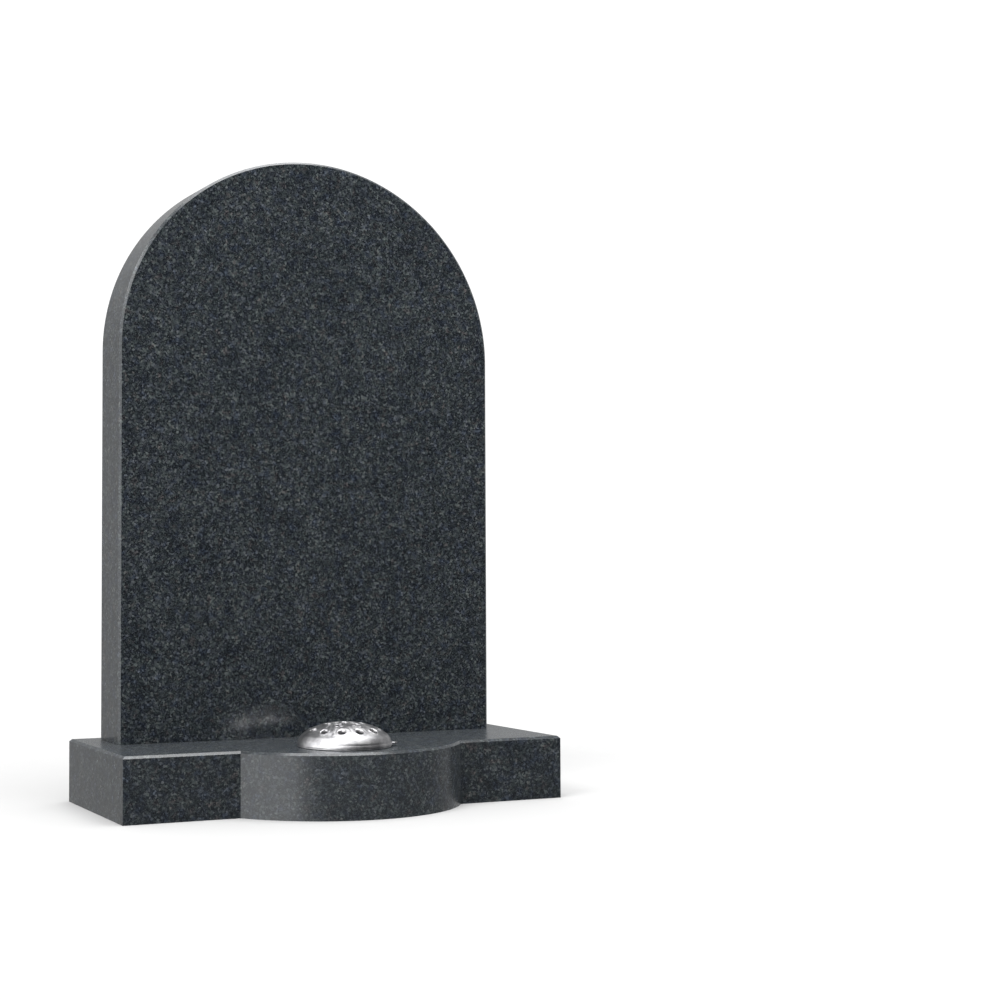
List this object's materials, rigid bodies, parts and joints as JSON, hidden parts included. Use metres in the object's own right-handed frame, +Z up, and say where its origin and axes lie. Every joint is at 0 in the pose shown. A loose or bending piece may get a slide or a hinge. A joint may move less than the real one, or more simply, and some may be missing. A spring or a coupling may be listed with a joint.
{
  "type": "headstone",
  "caption": "Round-headed polished granite headstone standing on a bow-fronted base with a sunk flower pot under a pierced domed lid.",
  "frame": {"origin": "middle of the bounding box's underside, on the ground", "axes": "+Z up, front with the bow and flower pot towards -Y, +X to the right of someone facing the front"},
  "size_m": [0.604, 0.304, 0.8433],
  "materials": {
    "tablet_granite": "polished dark blue-grey granite with paler mineral flecks, sawn arrises",
    "base_granite": "polished dark blue-grey granite with paler mineral flecks, sawn arrises",
    "pot_aluminium": "spun, brushed round",
    "lid_aluminium": "pressed, satin polished, raised pattern"
  },
  "bodies": {
    "root": {"tablet": "tablet_granite", "base": "base_granite", "flower_pot": "pot_aluminium", "flower_lid": "lid_aluminium"}
  },
  "joints": []
}
